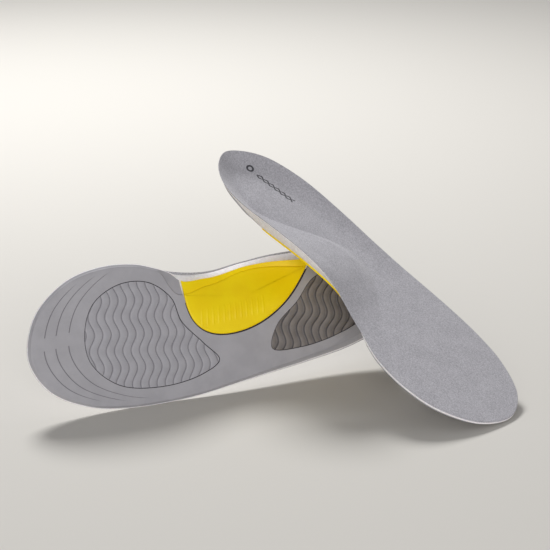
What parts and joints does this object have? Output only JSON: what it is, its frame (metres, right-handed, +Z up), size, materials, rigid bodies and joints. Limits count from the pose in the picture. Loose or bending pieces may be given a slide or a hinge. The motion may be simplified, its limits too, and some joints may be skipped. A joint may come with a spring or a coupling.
{
  "type": "cushioned insole",
  "caption": "Pair of full-length cushioned shoe insoles with heel cup, moulded arch shell, gel pads and brushed cover; one leans on its edge, the other rests across it.",
  "frame": {"origin": "middle of the pair's bounding box in plan, on the floor", "axes": "+Z up, +X towards the left insole's toe along the pair's longest extent, -Y towards the side that the right insole's underside faces"},
  "size_m": [0.3296, 0.1746, 0.1481],
  "materials": {
    "base_foam": "matte",
    "forefoot_pad": "satin",
    "heel_pad": "satin",
    "arch_shell": "satin",
    "cushion_foam": "matte",
    "top_cover": "matte"
  },
  "bodies": {
    "right_insole": {"right_base_foam": "base_foam", "right_forefoot_pad": "forefoot_pad", "right_heel_pad": "heel_pad", "right_arch_shell": "arch_shell", "right_cushion_foam": "cushion_foam", "right_top_cover": "top_cover"},
    "left_insole": {"left_base_foam": "base_foam", "left_forefoot_pad": "forefoot_pad", "left_heel_pad": "heel_pad", "left_arch_shell": "arch_shell", "left_cushion_foam": "cushion_foam", "left_top_cover": "top_cover"}
  },
  "joints": [
    {"name": "left_insole_lift", "type": "slide", "parent": "right_insole", "child": "left_insole", "axis": [0, 0, 1], "range_m": [0, 0.11]}
  ]
}
